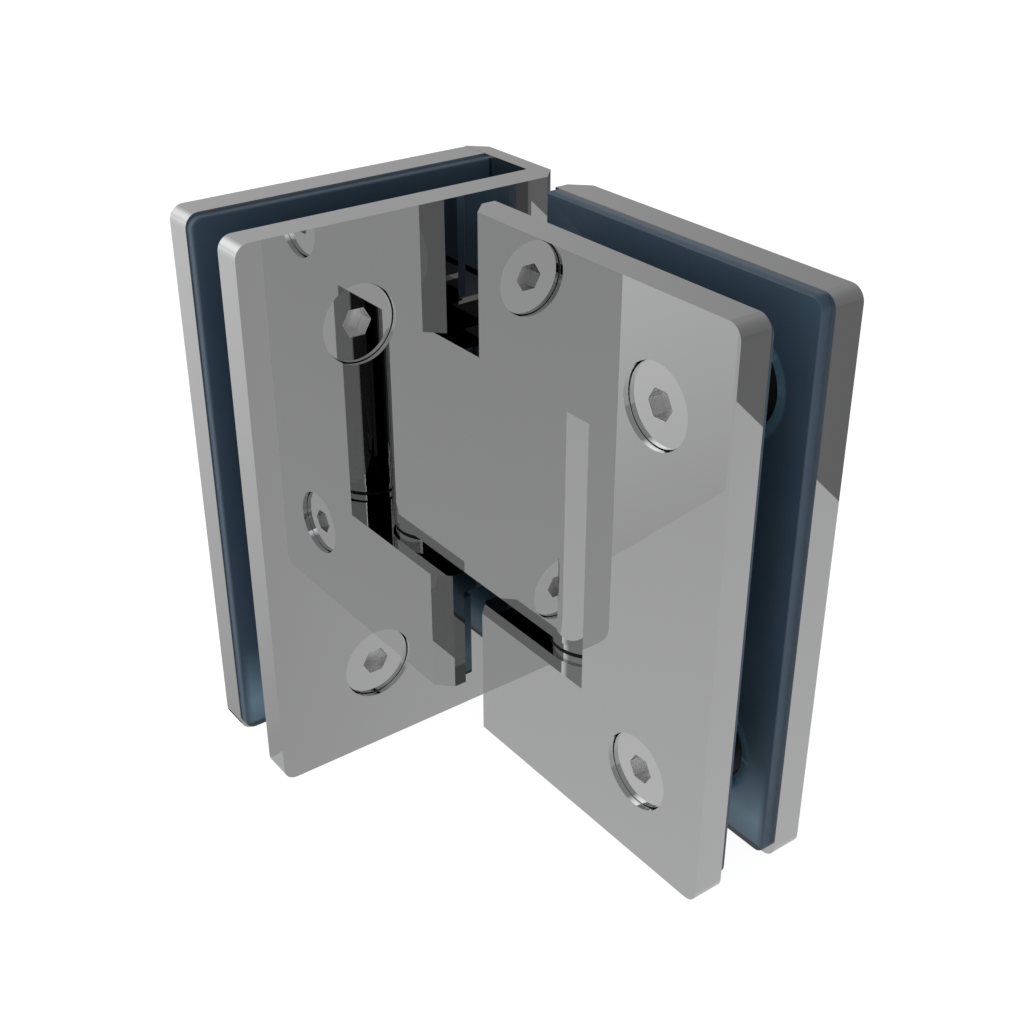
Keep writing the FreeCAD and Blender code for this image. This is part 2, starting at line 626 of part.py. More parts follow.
# Small screws
def lock_screws():
    """Set screws that hold the pin, in long holes from the housing's spine."""
    for level, place in (("upper", f"{NOTCH_HIGH} + arm_height / 2"),
                         ("lower", f"{NOTCH_LOW} - arm_height / 2")):
        end = f"({SPINE_END} - lock_recess)"
        body = new_piece(f"pin_lock_screw_{level}", (end, "0", place), TOWARD_X)
        tip = f"({LOCK_START} - {end})"
        turn_profile(body, "Revolution", "screw", [
            ("0", "0"),
            ("set_screw_radius", "0"),
            ("set_screw_radius", f"{tip} + pin_chamfer"),
            ("set_screw_radius - pin_chamfer", tip),
            ("0", tip),
        ])
        socket = new_sketch(body, "socket", "XY_Plane")
        draw_outline(socket, hexagon_corners("set_screw_hex"))
        add_feature(body, "Pocket", "cut_socket", socket, "set_screw_socket")


def housing_screws():
    """Cap screws through the housing's arms into the door's front plate."""
    back = FreeCAD.Rotation(FreeCAD.Vector(1, 0, 0), -90)
    for level, place in (("upper", f"{NOTCH_HIGH} + arm_height / 2"),
                         ("lower", f"{NOTCH_LOW} - arm_height / 2")):
        base = (f"{DOOR_END} + housing_screw_place", "plate_gap / 2 - fit_clearance", place)
        body = new_piece(f"housing_screw_{level}", base, back)
        seat = "0 - small_head_height + 2 * fit_clearance"
        tip = "0 - plate_gap - small_grip + fit_clearance"
        turn_profile(body, "Revolution", "screw", [
            ("0", "0"),
            ("small_head_radius - 2 * fit_clearance", "0"),
            ("small_head_radius - 2 * fit_clearance", seat),
            ("set_screw_radius", seat),
            ("set_screw_radius", tip),
            ("0", tip),
        ])
        socket = new_sketch(body, "socket", "XY_Plane")
        draw_outline(socket, hexagon_corners("set_screw_hex"))
        add_feature(body, "Pocket", "cut_socket", socket, "set_screw_socket / 2")


def build_all():
    fixed_leaf_front()
    fixed_leaf_back()
    fixed_gasket("fixed_gasket_front", FACE_INSIDE, -1, "front_gasket", FREE_END)
    fixed_gasket("fixed_gasket_back", BACK_INSIDE, 1, "back_gasket",
                 f"{FREE_END} + back_setback")
    door_plate_front()
    door_plate_back()
    pivot_housing()
    door_gasket("door_gasket_front", -1, "front_gasket")
    door_gasket("door_gasket_back", 1, "back_gasket")
    clamp_screws()
    pivot_pin()
    bearings()
    for level, side in LEVELS:
        detent(level, side)
    lock_screws()
    housing_screws()
    doc.recompute()


def write_parts():
    """Each object must be sound and each piece one valid solid before anything is written."""
    broken = [item.Name for item in doc.Objects if {"Invalid", "Error"} & set(item.State)]
    if broken:
        raise ValueError(f"these objects failed: {broken}")
    for piece in pieces:
        shape = piece.Shape
        if shape.isNull() or not shape.isValid() or len(shape.Solids) != 1:
            raise ValueError(f"{piece.Label} is not one valid solid")
    os.makedirs("parts", exist_ok=True)
    for piece in pieces:
        piece.Shape.exportStep(f"parts/{piece.Label}.step")
        box = piece.Shape.BoundBox
        print(f"{piece.Label}: {piece.Shape.Volume:.1f} mm3, x {box.XMin:.2f} to {box.XMax:.2f}, "
              f"y {box.YMin:.2f} to {box.YMax:.2f}, z {box.ZMin:.2f} to {box.ZMax:.2f}")


build_all()
write_parts()
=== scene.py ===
# %% [markdown]
# # A glass door hinge in polished chrome
# A hinge for two glass panes that meet at a right angle. Each leaf clamps its pane between
# two mirror-polished plates with dark blue gaskets, and a knuckle on a pin joins the leaves.
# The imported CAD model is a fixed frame, in metres: it gives each piece its place and size.
# This lesson gives the pieces their finish, makes the gaskets, sleeves and screws again with
# softer edges and finer detail, and builds a studio for the polished metal to mirror.

# %% Load the frame
import json
import math

import bpy
from mathutils import Euler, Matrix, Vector


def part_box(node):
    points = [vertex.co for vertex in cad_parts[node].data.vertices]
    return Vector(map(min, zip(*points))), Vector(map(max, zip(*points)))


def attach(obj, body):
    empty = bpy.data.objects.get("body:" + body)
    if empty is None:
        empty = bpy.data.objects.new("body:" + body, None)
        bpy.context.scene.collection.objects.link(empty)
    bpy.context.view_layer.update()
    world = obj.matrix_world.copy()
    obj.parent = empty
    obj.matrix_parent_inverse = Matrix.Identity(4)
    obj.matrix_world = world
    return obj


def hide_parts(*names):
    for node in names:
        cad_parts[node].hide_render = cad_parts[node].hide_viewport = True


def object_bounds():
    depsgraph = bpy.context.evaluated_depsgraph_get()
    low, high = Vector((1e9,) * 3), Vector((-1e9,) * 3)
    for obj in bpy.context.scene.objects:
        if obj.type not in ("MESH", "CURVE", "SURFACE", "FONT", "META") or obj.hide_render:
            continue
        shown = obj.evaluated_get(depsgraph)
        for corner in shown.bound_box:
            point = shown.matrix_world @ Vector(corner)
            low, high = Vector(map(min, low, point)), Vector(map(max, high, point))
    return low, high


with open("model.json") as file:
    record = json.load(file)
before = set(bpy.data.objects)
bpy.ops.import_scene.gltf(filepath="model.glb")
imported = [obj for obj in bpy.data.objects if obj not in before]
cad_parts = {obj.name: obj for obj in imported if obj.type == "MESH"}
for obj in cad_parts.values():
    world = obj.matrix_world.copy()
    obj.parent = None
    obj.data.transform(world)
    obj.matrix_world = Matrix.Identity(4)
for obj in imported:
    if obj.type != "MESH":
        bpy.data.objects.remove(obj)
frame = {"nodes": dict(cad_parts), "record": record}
cad_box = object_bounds()
bpy.ops.object.select_all(action="DESELECT")
print("CAD nodes:", len(frame["nodes"]))

MM = 0.001
MICRON = 0.001 * MM

# %% [markdown]
# Shader maths can be built one node at a time, but long chains are hard to read that way.
# Here one small class wraps a socket. Plain Python operators on it add Math nodes, and one
# method adds every other kind of node, so that a finish reads like a formula.


# %% Shader maths as expressions
class Wire:
    """A socket in a node tree that works in Python expressions."""

    def __init__(self, tree, socket=None):
        self.tree = tree
        self.socket = socket

    def node(self, kind, settings=None, inputs=None, output=0):
        """Adds a node: settings first, then values or links. Returns one of its outputs."""
        made = self.tree.nodes.new(kind)
        for name, value in (settings or {}).items():
            setattr(made, name, value)
        for name, value in (inputs or {}).items():
            if isinstance(value, Wire):
                self.tree.links.new(value.socket, made.inputs[name])
            else:
                made.inputs[name].default_value = value
        return None if output is None else Wire(self.tree, made.outputs[output])

    def math(self, operation, first, second=0.0):
        return self.node("ShaderNodeMath", {"operation": operation}, {0: first, 1: second})

    def __add__(self, other):
        return self.math("ADD", self, other)

    def __sub__(self, other):
        return self.math("SUBTRACT", self, other)

    def __rsub__(self, other):
        return self.math("SUBTRACT", other, self)

    def __mul__(self, other):
        return self.math("MULTIPLY", self, other)

    def __truediv__(self, other):
        return self.math("DIVIDE", self, other)

    def __gt__(self, other):
        return self.math("GREATER_THAN", self, other)

    def __abs__(self):
        return self.math("ABSOLUTE", self)

    __radd__ = __add__
    __rmul__ = __mul__

    def share(self, low, high):
        """0 up to low, 1 from high on, and a straight ramp between."""
        values = {"Value": self, "From Min": low, "From Max": high}
        return self.node("ShaderNodeMapRange", {"clamp": True}, values)

    def between(self, first, second):
        """First where this share is 0 and second where it is 1."""
        return first + self * (second - first)

    def colors(self, first, second):
        """A mix of two colours by this share. Each is written out or is a wire itself."""
        ends = [color if isinstance(color, Wire) else (*color, 1) for color in (first, second)]
        values = {0: self, 6: ends[0], 7: ends[1]}
        return self.node("ShaderNodeMix", {"data_type": "RGBA"}, values, output=2)

    def axes(self):
        """The three numbers of a vector."""
        values = {"Vector": self}
        return [self.node("ShaderNodeSeparateXYZ", None, values, output=axis) for axis in (0, 1, 2)]


# %% [markdown]
# A finish is a Principled shader whose colour, roughness and fine relief vary a little over
# the surface. Noise on Object coordinates stays put when a piece swings, because the pattern
# belongs to the piece and not to the room.


# %% A new finish
def new_finish(name, metallic, specular=0.5):
    """A material with its shader, and a wire of Object coordinates to start from."""
    material = bpy.data.materials.new(name)
    material.use_nodes = True
    shader = material.node_tree.nodes["Principled BSDF"]
    shader.inputs["Metallic"].default_value = metallic
    shader.inputs["Specular IOR Level"].default_value = specular
    place = Wire(material.node_tree).node("ShaderNodeTexCoord", output="Object")
    return material, shader, place


def feed(shader, **wires):
    """Links wires to the shader's sockets, written with _ for a space."""
    for name, wire in wires.items():
        wire.tree.links.new(wire.socket, shader.inputs[name.replace("_", " ")])


def noise(place, scale, detail=2.0):
    """Soft clouds from 0 to 1. Scale is about how many fit in a metre."""
    values = {"Vector": place, "Scale": scale, "Detail": detail}
    return place.node("ShaderNodeTexNoise", None, values)


def relief(height, depth):
    """Turns a height from 0 to 1 into a normal. Depth is in metres."""
    values = {"Height": height, "Distance": depth, "Strength": 1.0}
    return height.node("ShaderNodeBump", None, values)


# %% [markdown]
# The plates are cast brass, ground flat, buffed and chrome plated. A flat mirror is easy to
# fake with roughness zero, but real buffing leaves a faint haze and very slight waves. Noise
# with a wavelength of some 15 mm gives the waves, so shallow that mirrored edges stay
# straight, and a finer noise moves the roughness between two small values.

# %% Polished chrome
CHROME = (0.718, 0.72, 0.723)
CHROME_DEEP = (0.708, 0.71, 0.715)
CHROME_HAZE = (0.004, 0.014)
WAVES = 0.3 * MICRON
chrome, shader, place = new_finish("polished_chrome", 1)
haze = noise(place, 220, 3)
feed(shader, Base_Color=noise(place, 40).colors(CHROME, CHROME_DEEP),
     Roughness=haze.between(*CHROME_HAZE),
     Normal=relief(noise(place, 70, 0), WAVES))
print("chrome varies from", CHROME, "to", CHROME_DEEP)

# %% [markdown]
# The clamp screws are turned from stainless steel and buffed on the face, so their heads are
# small plain mirrors, a little lighter than the chrome round them. Turning leaves rings, and
# buffing takes their relief away but not quite all of their haze. The hexagon socket is pressed
# in and never buffed, so it is dull. Rings and socket need the distance from the screw's own
# axis. Both screws of a leaf share one finish, because the height is folded about the leaf's
# middle, so one formula serves two heads.


# %% The distance from a screw's axis
def middle_of(node):
    low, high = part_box(node)
    return (low + high) / 2


def round_screws(place, leaf, across):
    """The axes, and the distance from the nearer screw's axis. Across lies in the plate's face."""
    upper = middle_of(f"{leaf}_screw_upper")
    half_height = (cad_box[0][2] + cad_box[1][2]) / 2
    axes = place.axes()
    side = axes[across] - upper[across]
    rise = abs(axes[2] - half_height) - (upper.z - half_height)
    return axes, place.math("SQRT", side * side + rise * rise)


# %% Screw steel
SCREW = (0.865, 0.866, 0.87)
SCREW_DEEP = (0.845, 0.847, 0.853)
SCREW_HAZE = (0.012, 0.035)
RING_STEP = 0.25 * MM
SOCKET = (0.9, 0.9, 0.905)
SOCKET_DEEP = (0.85, 0.85, 0.855)
SOCKET_DULL = (0.28, 0.34)
SOCKET_REACH = 2.5 * MM
SOCKET_START = 0.1 * MM


def screw_finish(leaf, across, face, outward):
    """Face is where the heads' faces lie on the axis that they look along, outward 1 or -1."""
    material, shader, place = new_finish(f"{leaf}_screw_steel", 1)
    axes, radius = round_screws(place, leaf, across)
    depth = (axes[1 - across] - face) * -outward
    inside = (radius * -1 > -SOCKET_REACH) * (depth > SOCKET_START)
    rings = place.math("SINE", radius * (2 * math.pi / RING_STEP)) * 0.5 + 0.5
    fine = noise(place, 400, 3)
    buffed = noise(place, 90).colors(SCREW, SCREW_DEEP)
    pressed = fine.colors(SOCKET, SOCKET_DEEP)
    buffed_haze = (rings * fine).between(*SCREW_HAZE)
    feed(shader, Base_Color=inside.colors(buffed, pressed),
         Roughness=inside.between(buffed_haze, fine.between(*SOCKET_DULL)))
    return material


screw_steel = {
    "fixed": screw_finish("fixed", 1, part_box("fixed_screw_upper")[1].x, 1),
    "door": screw_finish("door", 0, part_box("door_screw_upper")[0].y, -1),
}
print("screws' axes:", middle_of("fixed_screw_upper"), middle_of("door_screw_upper"))

# %% [markdown]
# The gaskets are moulded from soft PVC in a dark petrol blue. Such a sheet has a fine, even
# grain and a low gloss that shows as a paler sheen where light grazes it. A single blue
# looks like paper, so two blues are mixed by noise, and a fine grain lifts the surface. Three
# marks of painted light are mixed in, as in the photograph: a paler painted highlight on the
# rim round each screw hole, paler painted light on the lower end of the faces, as if the floor
# lit them from below, and painted shade on the lower edge, which faces down. Each leaf's
# gaskets share a finish.

# %% Blue gasket
GASKET = (0.05, 0.087, 0.128)
GASKET_DEEP = (0.04, 0.072, 0.108)
GASKET_DULL = (0.34, 0.5)
GRAIN = 12 * MICRON
HOLE = 7.1 * MM
RIM_WIDTH = 1.9 * MM
# Painted highlight: a paler blue on the rim round each screw hole.
RIM_PAINTED_HIGHLIGHT = (0.1, 0.2, 0.27)
RIM_HIGHLIGHT_SHARE = 0.8
RIM_HIGHLIGHT_FULL = 0.7
# Painted light: the lower end of the faces is paler, as if lit from the floor below.
END_PAINTED_LIGHT = (0.15, 0.26, 0.34)
PAINTED_LIGHT_TOP = 17 * MM
PAINTED_LIGHT_FULL = 7 * MM
PAINTED_LIGHT_BRIGHTEST = 6 * MM
PAINTED_LIGHT_MARGIN = (0.3 * MM, 1.5 * MM)
# Painted shade: a darker blue along the lower edge, which faces down.
FOOT_PAINTED_SHADE = (0.026, 0.04, 0.054)
FOOT_SHADE_HEIGHTS = (2.4 * MM, 1.9 * MM)


def gasket_finish(leaf, across, free_end, outward):
    """Free end is where the sheets end along the leaf, outward 1 or -1."""
    material, shader, place = new_finish(f"{leaf}_gasket_pvc", 0)
    axes, radius = round_screws(place, leaf, across)
    height = axes[2]
    inward = (axes[across] - free_end) * -outward
    # Painted highlight on the rim round each screw hole.
    rim_highlight = radius.share(HOLE + RIM_WIDTH, HOLE + RIM_HIGHLIGHT_FULL * RIM_WIDTH)
    # Painted light on the lower end of the faces, away from the free end.
    painted_end_light = height.share(PAINTED_LIGHT_TOP, PAINTED_LIGHT_FULL) * height.share(0, PAINTED_LIGHT_BRIGHTEST)
    painted_end_light = painted_end_light * inward.share(*PAINTED_LIGHT_MARGIN)
    # Painted shade along the lower edge of the sheet.
    painted_foot_shade = height.share(*FOOT_SHADE_HEIGHTS)
    grain = noise(place, 2600, 2)
    blue = noise(place, 160, 3).colors(GASKET, GASKET_DEEP)
    # The painted light, painted highlight and painted shade are mixed over the blue.
    for share, other in ((painted_end_light, END_PAINTED_LIGHT), (rim_highlight * RIM_HIGHLIGHT_SHARE, RIM_PAINTED_HIGHLIGHT), (painted_foot_shade, FOOT_PAINTED_SHADE)):
        blue = share.colors(blue, other)
    feed(shader, Base_Color=blue, Roughness=grain.between(*GASKET_DULL),
         Normal=relief(grain, GRAIN))
    return material


gasket_blue = {
    "fixed": gasket_finish("fixed", 1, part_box("fixed_gasket_back")[0].y, -1),
    "door": gasket_finish("door", 0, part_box("door_gasket_back")[1].x, 1),
}
print("pale end of the gaskets below", PAINTED_LIGHT_TOP, "m")

# %% [markdown]
# Sleeves and thrust washers are black nylon. Nylon from a mould is nearly black with a dull
# skin, a little uneven where it cooled. Plain black would lose its shape in the shade, so the
# skin gets two blacks and a slight relief from one noise.

# %% Black nylon
NYLON = (0.008, 0.008, 0.009)
NYLON_PALE = (0.018, 0.018, 0.02)
NYLON_DULL = (0.42, 0.6)
NYLON_SPECULAR = 0.4
nylon, shader, place = new_finish("black_nylon_moulded", 0, NYLON_SPECULAR)
skin = noise(place, 900, 4)
feed(shader, Base_Color=skin.colors(NYLON, NYLON_PALE),
     Roughness=skin.between(*NYLON_DULL), Normal=relief(skin, 10 * MICRON))

# %% [markdown]
# Pin and plungers are ground steel. Grinding leaves fine lines round the pin, so the noise
# is squeezed along Z with a Mapping node: it then changes fast along the pin and slowly
# round it. The plungers are small and hidden, so they share the finish.

# %% Ground steel
STEEL = (0.58, 0.58, 0.59)
STEEL_DEEP = (0.5, 0.5, 0.51)
STEEL_DULL = (0.16, 0.32)
SQUEEZE = (60, 60, 4000)
steel, shader, place = new_finish("ground_steel", 1)
squeezed = place.node("ShaderNodeMapping", None, {"Vector": place, "Scale": SQUEEZE})
lines = noise(squeezed, 1.0, 2)
feed(shader, Base_Color=noise(place, 120).colors(STEEL, STEEL_DEEP),
     Roughness=lines.between(*STEEL_DULL), Normal=relief(lines, 2 * MICRON))

# %% [markdown]
# The bushes are sintered bronze: pressed from powder, so the metal is full of small pores. A
# fine noise is cut hard between two close values, which leaves dark specks on clear metal.

# %% Sintered bronze
BRONZE = (0.62, 0.42, 0.2)
BRONZE_PORES = (0.3, 0.19, 0.09)
BRONZE_DULL = (0.6, 0.32)
PORE_CUT = (0.38, 0.5)
bronze, shader, place = new_finish("sintered_bronze", 1)
clear_metal = noise(place, 3200, 3).share(*PORE_CUT)
feed(shader, Base_Color=clear_metal.colors(BRONZE_PORES, BRONZE),
     Roughness=clear_metal.between(*BRONZE_DULL), Normal=relief(clear_metal, 20 * MICRON))

# %% [markdown]
# The springs are drawn wire with a straw tint from tempering. The set screws and plugs are
# blackened in an oxide bath, which leaves a cloudy grey black that shines at the edges. One
# noise each moves the tint and the gloss together, as heat and the bath do.

# %% Spring wire and black oxide
WIRE = (0.46, 0.45, 0.44)
WIRE_STRAW = (0.56, 0.5, 0.42)
WIRE_DULL = (0.2, 0.36)
OXIDE = (0.05, 0.05, 0.055)
OXIDE_PALE = (0.12, 0.12, 0.13)
OXIDE_DULL = (0.3, 0.5)
spring, shader, place = new_finish("tempered_wire", 1)
tint = noise(place, 500, 3)
feed(shader, Base_Color=tint.colors(WIRE, WIRE_STRAW), Roughness=tint.between(*WIRE_DULL))
oxide, shader, place = new_finish("black_oxide", 1)
cloud = noise(place, 700, 4)
feed(shader, Base_Color=cloud.colors(OXIDE, OXIDE_PALE),
     Roughness=cloud.between(*OXIDE_DULL), Normal=relief(cloud, 4 * MICRON))

# %% [markdown]
# The record names a material slot for each CAD node. The nodes could be dressed one by one,
# but a table from slot to finish makes sure that none is forgotten. Screws and gaskets have
# a finish for each leaf, and the rest have one for all.


# %% Give every CAD node its finish
def leaf_of(node):
    return "fixed" if node.startswith("fixed") else "door"


SLOT_FINISH = {
    "polished_chrome": chrome, "screw_chrome": screw_steel, "blue_gasket": gasket_blue,
    "black_nylon": nylon, "pin_steel": steel, "bush_bronze": bronze,
    "spring_steel": spring, "dark_steel": oxide,
}
for part in frame["record"]["subparts"]:
    finish = SLOT_FINISH[part["material_slot"]]
    if isinstance(finish, dict):
        finish = finish[leaf_of(part["node"])]
    materials = frame["nodes"][part["node"]].data.materials
    materials.clear()
    materials.append(finish)

# %% [markdown]
# Some pieces get finer forms than the frame's solids have. Each starts as a primitive at its
# size and place and is shaped in edit mode. Operators act on whatever is selected, so faces
# and points are picked in code, by a test on their place in the piece's own axes. A flat piece
# is turned so that its own Z is the way its face looks, and a helper gives that turn.


# %% Helpers for picking
def only(piece):
    """Selects one piece and nothing else."""
    bpy.ops.object.select_all(action="DESELECT")
    piece.select_set(True)
    bpy.context.view_layer.objects.active = piece


def pick(piece, test, kind="FACE"):
    """Goes into edit mode with just the faces, or points, selected that pass the test."""
    only(piece)
    bpy.ops.object.mode_set(mode="EDIT")
    bpy.ops.mesh.select_mode(type=kind)
    bpy.ops.mesh.select_all(action="DESELECT")
    bpy.ops.object.mode_set(mode="OBJECT")
    for member in piece.data.polygons if kind == "FACE" else piece.data.vertices:
        member.select = test(member)
    bpy.ops.object.mode_set(mode="EDIT")


def close_up():
    """Points all faces of the shape in edit mode outwards, and leaves edit mode."""
    bpy.ops.mesh.select_all(action="SELECT")
    bpy.ops.mesh.normals_make_consistent(inside=False)
    bpy.ops.object.mode_set(mode="OBJECT")


def looks_down(face):
    return face.normal.z < -0.9


# %% Helpers for shaping
SHARP = math.radians(50)
SMOOTH_SHEET = math.radians(18)
SMOOTH_TURNED = math.radians(20)


def apply(piece, kind, **settings):
    """Adds a modifier with its settings and applies it at once."""
    only(piece)
    modifier = piece.modifiers.new(kind, kind)
    for name, value in settings.items():
        setattr(modifier, name, value)
    bpy.ops.object.modifier_apply(modifier=modifier.name)


def cut(piece, cutter):
    """Takes the cutter's shape out of the piece, and the cutter away."""
    apply(piece, "BOOLEAN", operation="DIFFERENCE", solver="EXACT", object=cutter)
    bpy.data.objects.remove(cutter)


def soften(piece, width, smooth):
    """Bevels the sharp edges, and smooths the shading over edges flatter than an angle."""
    apply(piece, "BEVEL", width=width, segments=2, limit_method="ANGLE", angle_limit=SHARP)
    bpy.ops.object.shade_smooth_by_angle(angle=smooth)


def extrude(move):
    bpy.ops.mesh.extrude_region_move(TRANSFORM_OT_translate={"value": move})


def facing(degrees):
    """The turn of a piece whose face looks to +X at 90, -X at -90, -Y at 0 and +Y at 180."""
    return Euler((math.pi / 2, 0, math.radians(degrees)))


def its_axis(turn, x, y, z):
    """An axis of a turned piece, as it lies in the room."""
    return turn.to_matrix() @ Vector((x, y, z))


# %% Tie a finished piece to the frame
def settle(piece, name, node, finish):
    """Moves the piece's place into its mesh and ties it to the frame in the node's stead."""
    only(piece)
    bpy.ops.object.transform_apply(location=True, rotation=True, scale=True)
    piece.name = name
    piece.data.materials.clear()
    piece.data.materials.append(finish)
    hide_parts(node)
    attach(piece, "fixed_leaf" if node.startswith("fixed") else "door_leaf")
    print(name, "faces:", len(piece.data.polygons))


# %% [markdown]
# A gasket is a flat sheet of soft PVC, pressed between a plate and the glass. The edge that
# meets the glass is rounded, which catches a soft line of light, and a dished rim runs round
# each screw hole. It could be cut from a block, but a plane keeps the outline easy to shape:
# its two free corners are rounded by a bevel on the corner points, then it is extruded to its
# thickness, and the outline of its upper face is bevelled. The photograph shows the sheets on
# the back plates a little thinner and longer than the solids, and hides the ends of the
# front ones, so the sheet's box is changed by those amounts first.

# %% Gasket sizes
CORNER = 1.8 * MM
CORNER_STEPS = 16
ROUNDING = 0.3 * MM
ROUNDING_STEPS = 6
FRONT_SET_BACK = 0.9 * MM
FRONT_LOWER = 0.9 * MM
BACK_THINNER = 0.8 * MM
BACK_LONGER = 0.6 * MM


def sheet_box(node):
    """Where the sheet lies, from the node's box."""
    low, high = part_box(node)
    if node == "fixed_gasket_front":
        low.y += FRONT_SET_BACK
    if node.endswith("front"):
        high.z -= FRONT_LOWER
    else:
        low.z -= BACK_LONGER
    return low, high


# %% Model the blank sheet
def blank_sheet(node, base, turn, size, rise):
    """A sheet that stands on its base and rises towards the glass."""
    along = its_axis(turn, 1, 0, 0)
    bpy.ops.mesh.primitive_plane_add(size=1, location=base, rotation=turn)
    sheet = bpy.context.active_object
    sheet.dimensions = (abs(size.dot(along)), size.z, 0)
    bpy.ops.object.transform_apply(location=False, rotation=False, scale=True)
    free_end = Vector((0, -1, 0)) if node.startswith("fixed") else Vector((1, 0, 0))
    side = round(free_end.dot(along))
    pick(sheet, lambda point: point.co.x * side > 0, "VERT")
    bpy.ops.mesh.bevel(offset=CORNER, segments=CORNER_STEPS, affect="VERTICES")
    bpy.ops.mesh.select_all(action="SELECT")
    extrude(rise)
    bpy.ops.mesh.region_to_loop()
    bpy.ops.mesh.bevel(offset=ROUNDING, segments=ROUNDING_STEPS)
    close_up()
    return sheet


# %% [markdown]
# A screw hole is drilled through the sheet with a cylinder, and its rim is sunk with a flat
# cone. Both come from one drill, which is a cone whose two radii may be the same. A drill
# starts a little outside the face, because a cut that ends just on a face leaves slivers.

# %% Drill the holes
RIM_DEPTH = 0.25 * MM
PAST = 0.1 * MM
ROUND_STEPS = 96


def drill(piece, at, turn, radius, depth, mouth=None):
    """Cuts a hole along the piece's Z, from a face down. The mouth is its radius at the top."""
    middle = at - its_axis(turn, 0, 0, depth / 2)
    bpy.ops.mesh.primitive_cone_add(vertices=ROUND_STEPS, radius1=radius, radius2=mouth or radius,
                                    depth=depth, location=middle, rotation=turn)
    cut(piece, bpy.context.active_object)


def screw_hole(sheet, screw, turn, over, thickness):
    """A hole with its rim round a screw's axis. Over is a point of the sheet's upper face."""
    outward = its_axis(turn, 0, 0, 1)
    center = middle_of(screw)
    start = center + outward * ((over - center).dot(outward) + PAST)
    spread = RIM_WIDTH / RIM_DEPTH * PAST
    drill(sheet, start, turn, HOLE, thickness + 2 * PAST)
    drill(sheet, start, turn, HOLE - spread, RIM_DEPTH + 2 * PAST, HOLE + RIM_WIDTH + spread)


# %% [markdown]
# The two gaskets of the door leaf are cut out round the pivot housing. A cube, stretched to
# the size of the cut-out, is taken away from the sheet. Its open side stands well outside
# the sheet, so that only the other three sides matter.

# %% The cut-out round the housing
HOUSING_EASE = 0.5 * MM
WELL_OUTSIDE = 1 * MM


def around_housing(sheet, low, high):
    housing_low, housing_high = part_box("pivot_housing")
    start = Vector((low.x - WELL_OUTSIDE, low.y - WELL_OUTSIDE, housing_low.z - HOUSING_EASE))
    end = Vector((housing_high.x + HOUSING_EASE, high.y + WELL_OUTSIDE,
                  housing_high.z + HOUSING_EASE))
    bpy.ops.mesh.primitive_cube_add(size=1, location=(start + end) / 2)
    block = bpy.context.active_object
    block.dimensions = end - start
    bpy.ops.object.transform_apply(location=False, rotation=False, scale=True)
    cut(sheet, block)


# %% [markdown]
# The four sheets differ in thickness, length and cut-outs, so each is made from the start and
# not copied. Last, a small bevel softens the sharp edges, because nothing moulded is quite
# sharp, and it gives the light an edge to catch.

# %% The four gaskets
GASKETS = {"fixed_gasket_front": -90, "fixed_gasket_back": 90,
           "door_gasket_front": 180, "door_gasket_back": 0}
GASKET_EDGE = 0.07 * MM
for node, degrees in GASKETS.items():
    leaf = leaf_of(node)
    turn = facing(degrees)
    outward = its_axis(turn, 0, 0, 1)
    low, high = sheet_box(node)
    thickness = abs((high - low).dot(outward))
    base = (low + high) / 2 - outward * thickness / 2
    if node.endswith("back"):
        thickness -= BACK_THINNER
    over = base + outward * thickness
    sheet = blank_sheet(node, base, turn, high - low, over - base)
    if leaf == "door":
        around_housing(sheet, low, high)
    for level in ("upper", "lower"):
        screw_hole(sheet, f"{leaf}_screw_{level}", turn, over, thickness)
    soften(sheet, GASKET_EDGE, SMOOTH_SHEET)
    settle(sheet, f"{node}_sheet", node, gasket_blue[leaf])

# %% [markdown]
# The sleeves are alike, and so are the screws, so one of each is modelled under the origin,
# with its axis along Z and its outer end at height zero. Each place then gets a copy with a
# mesh of its own, turned to face outwards and set on the outer end of its node.

# %% Copy a model to its four places
OUTWARD = {"fixed": 90, "door": 0}


def copy_to_places(model, kind, ending, finishes):
    """Puts a copy at each of the four nodes of this kind, and takes the model away."""
    only(model)
    bpy.ops.object.transform_apply(location=True, rotation=True, scale=True)
    for leaf, degrees in OUTWARD.items():
        turn = facing(degrees)
        outward = its_axis(turn, 0, 0, 1)
        for level in ("upper", "lower"):
            node = f"{leaf}_{kind}_{level}"
            low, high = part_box(node)
            only(model)
            bpy.ops.object.duplicate()
            piece = bpy.context.active_object
            piece.rotation_euler = turn
            piece.location = (low + high) / 2 + outward * abs((high - low).dot(outward)) / 2
            settle(piece, f"{node}_{ending}", node, finishes[leaf])
    bpy.data.objects.remove(model)


# %% [markdown]
# A nylon sleeve round each clamp screw keeps the metal off the glass. The photograph shows only
# black inside the gaskets' holes, so the sleeve has a flange at both ends that fills the hole.
# It starts as one flange, a flat cylinder. The flange's face is inset to the tube's radius and
# drawn out, then widened and drawn out again for the second flange. The bore is drilled last,
# with the gaskets' drill.

# %% The four sleeves
FLANGE = 6.9 * MM
FLANGE_THICK = 1.0 * MM
BORE = 3.1 * MM
SLEEVE_EDGE = 0.15 * MM

